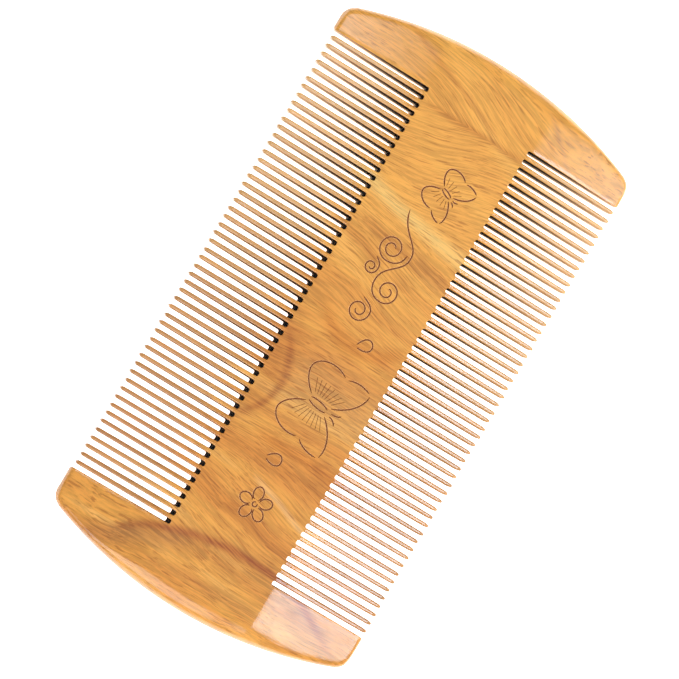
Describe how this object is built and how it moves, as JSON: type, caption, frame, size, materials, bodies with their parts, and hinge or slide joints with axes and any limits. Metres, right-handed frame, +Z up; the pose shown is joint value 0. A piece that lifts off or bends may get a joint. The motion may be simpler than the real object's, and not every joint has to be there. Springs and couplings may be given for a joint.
{
  "type": "double-sided beard comb",
  "caption": "Flat wooden pocket comb with a row of fine teeth along each side, broad rounded end guards and a line-engraved middle band.",
  "frame": {"origin": "middle of the back face, which the comb lies on", "axes": "+X along the comb towards the narrower guard, +Y along the teeth, +Z up out of the engraved front face"},
  "size_m": [0.102, 0.0552, 0.005],
  "materials": {
    "polished_wood": "buffed and lightly waxed, semi-gloss",
    "tooth_wood": "buffed on the sloping faces, saw-cut and darker on the side walls"
  },
  "bodies": {
    "root": {"spine": "polished_wood", "left_guard": "polished_wood", "right_guard": "polished_wood", "upper_teeth": "tooth_wood", "lower_teeth": "tooth_wood"}
  },
  "joints": []
}
